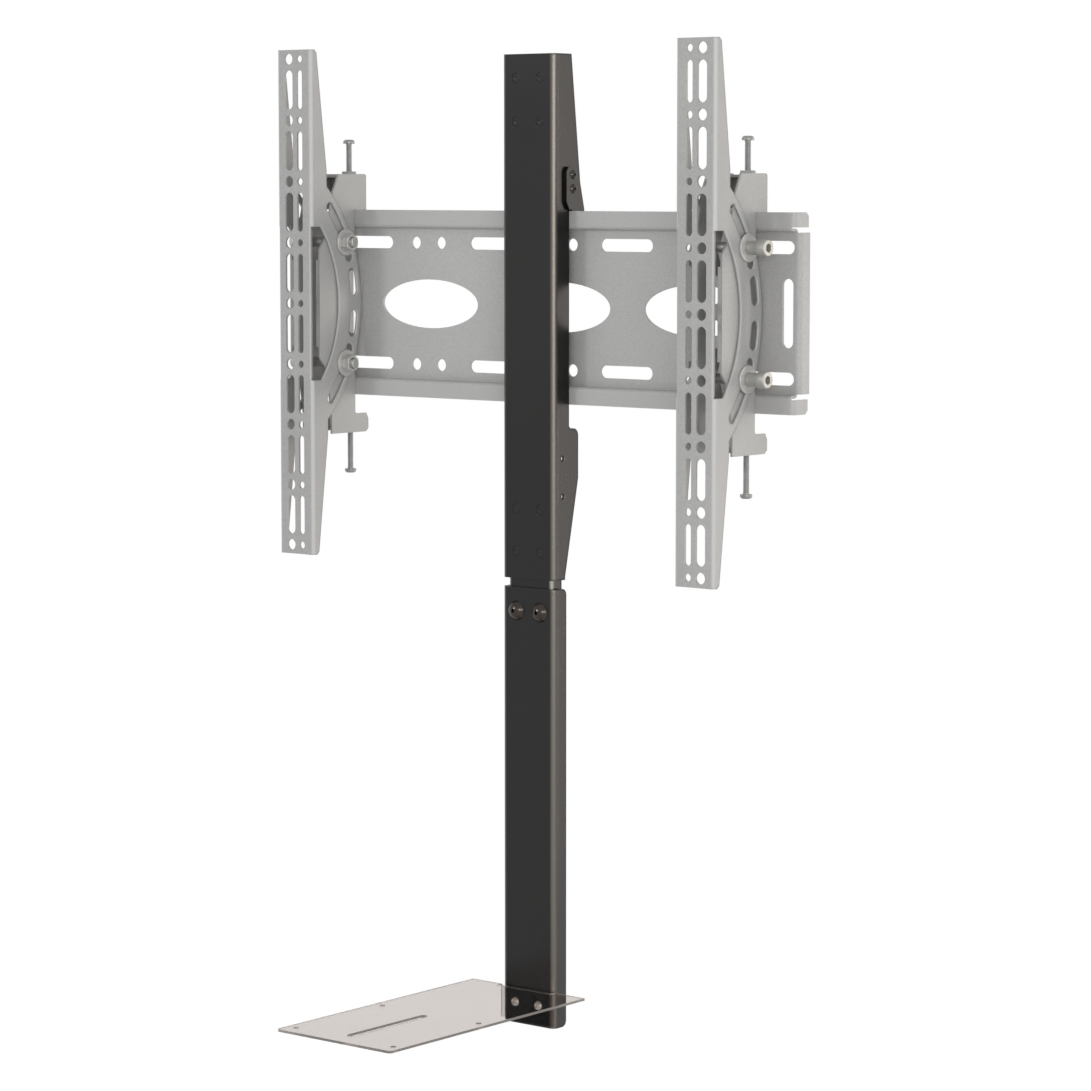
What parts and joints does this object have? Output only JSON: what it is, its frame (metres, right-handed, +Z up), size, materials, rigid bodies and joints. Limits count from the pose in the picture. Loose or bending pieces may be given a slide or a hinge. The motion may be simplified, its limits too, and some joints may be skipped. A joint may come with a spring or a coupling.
{
  "type": "screen wall mount with shelf",
  "caption": "Tilting wall mount for a screen: slotted wall plate, hooked arms with arc slots, and a jointed drop post that carries a small see-through shelf below.",
  "frame": {"origin": "the point of the wall behind the middle of the wall plate", "axes": "+X to the right along the wall, +Y into the wall, +Z up"},
  "size_m": [0.504, 0.273, 0.7875],
  "materials": {
    "plate_paint": "satin light grey powder coat",
    "bracket_paint": "satin light grey powder coat",
    "arm_paint": "satin light grey powder coat",
    "bright_steel": "bright zinc plate",
    "zinc_steel": "zinc plate",
    "post_paint": "satin black powder coat",
    "dark_screw": "blackened steel",
    "dark_chrome": "dark polished chrome",
    "clear_sheet": "clear, slightly warm grey acrylic"
  },
  "bodies": {
    "wall_plate": {"wall_plate": "plate_paint"},
    "bracket_left": {"hook_bracket_left": "bracket_paint", "weld_nuts_left": "bracket_paint", "tilt_washers_left": "bright_steel", "tilt_collars_left": "bright_steel", "tilt_nuts_left": "bright_steel"},
    "arm_left": {"screen_arm_left": "arm_paint"},
    "tilt_bolt_left_upper": {"tilt_bolt_left_upper": "bright_steel"},
    "lock_screw_left_upper": {"lock_screw_left_upper": "bright_steel"},
    "tilt_bolt_left_lower": {"tilt_bolt_left_lower": "bright_steel"},
    "lock_screw_left_lower": {"lock_screw_left_lower": "bright_steel"},
    "bracket_right": {"hook_bracket_right": "bracket_paint", "weld_nuts_right": "bracket_paint", "tilt_washers_right": "bright_steel", "tilt_collars_right": "bright_steel", "tilt_nuts_right": "bright_steel"},
    "arm_right": {"screen_arm_right": "arm_paint"},
    "tilt_bolt_right_upper": {"tilt_bolt_right_upper": "bright_steel"},
    "lock_screw_right_upper": {"lock_screw_right_upper": "bright_steel"},
    "tilt_bolt_right_lower": {"tilt_bolt_right_lower": "bright_steel"},
    "lock_screw_right_lower": {"lock_screw_right_lower": "bright_steel"},
    "post": {"post_upper_channel": "post_paint", "post_joiner": "post_paint", "post_lower_channel": "post_paint", "post_hook_left": "post_paint", "post_hook_right": "post_paint", "post_hook_screws": "dark_screw", "post_hook_nuts": "zinc_steel", "post_studs": "post_paint", "joiner_nuts": "zinc_steel", "joint_screws": "dark_chrome", "joint_nuts": "zinc_steel", "shelf": "clear_sheet", "shelf_screws": "zinc_steel", "shelf_nuts": "zinc_steel"}
  },
  "joints": [
    {"name": "left_bracket_slide", "type": "slide", "parent": "wall_plate", "child": "bracket_left", "axis": [1, 0, 0], "range_m": [0, 0.1]},
    {"name": "right_bracket_slide", "type": "slide", "parent": "wall_plate", "child": "bracket_right", "axis": [1, 0, 0], "range_m": [-0.09, 0.032]},
    {"name": "post_slide", "type": "slide", "parent": "wall_plate", "child": "post", "axis": [1, 0, 0], "range_m": [-0.035, 0.035]},
    {"name": "left_arm_tilt", "type": "hinge", "parent": "bracket_left", "child": "arm_left", "pos_m": [-0.23, -0.145, 0], "axis": [1, 0, 0], "range_deg": [-6, 6]},
    {"name": "left_upper_bolt_turn", "type": "hinge", "parent": "bracket_left", "child": "tilt_bolt_left_upper", "pos_m": [-0.23, -0.03426, 0.05], "axis": [1, 0, 0], "range_deg": [-180, 0]},
    {"name": "left_upper_lock_travel", "type": "slide", "parent": "bracket_left", "child": "lock_screw_left_upper", "axis": [0, 0, 1], "range_m": [-0.002, 0.03]},
    {"name": "left_lower_bolt_turn", "type": "hinge", "parent": "bracket_left", "child": "tilt_bolt_left_lower", "pos_m": [-0.23, -0.03426, -0.05], "axis": [1, 0, 0], "range_deg": [-180, 0]},
    {"name": "left_lower_lock_travel", "type": "slide", "parent": "bracket_left", "child": "lock_screw_left_lower", "axis": [0, 0, 1], "range_m": [-0.03, 0.008]},
    {"name": "right_arm_tilt", "type": "hinge", "parent": "bracket_right", "child": "arm_right", "pos_m": [0.182, -0.145, 0], "axis": [1, 0, 0], "range_deg": [-6, 6]},
    {"name": "right_upper_bolt_turn", "type": "hinge", "parent": "bracket_right", "child": "tilt_bolt_right_upper", "pos_m": [0.182, -0.03426, 0.05], "axis": [1, 0, 0], "range_deg": [0, 180]},
    {"name": "right_upper_lock_travel", "type": "slide", "parent": "bracket_right", "child": "lock_screw_right_upper", "axis": [0, 0, 1], "range_m": [-0.002, 0.03]},
    {"name": "right_lower_bolt_turn", "type": "hinge", "parent": "bracket_right", "child": "tilt_bolt_right_lower", "pos_m": [0.182, -0.03426, -0.05], "axis": [1, 0, 0], "range_deg": [0, 180]},
    {"name": "right_lower_lock_travel", "type": "slide", "parent": "bracket_right", "child": "lock_screw_right_lower", "axis": [0, 0, 1], "range_m": [-0.03, 0.008]}
  ]
}
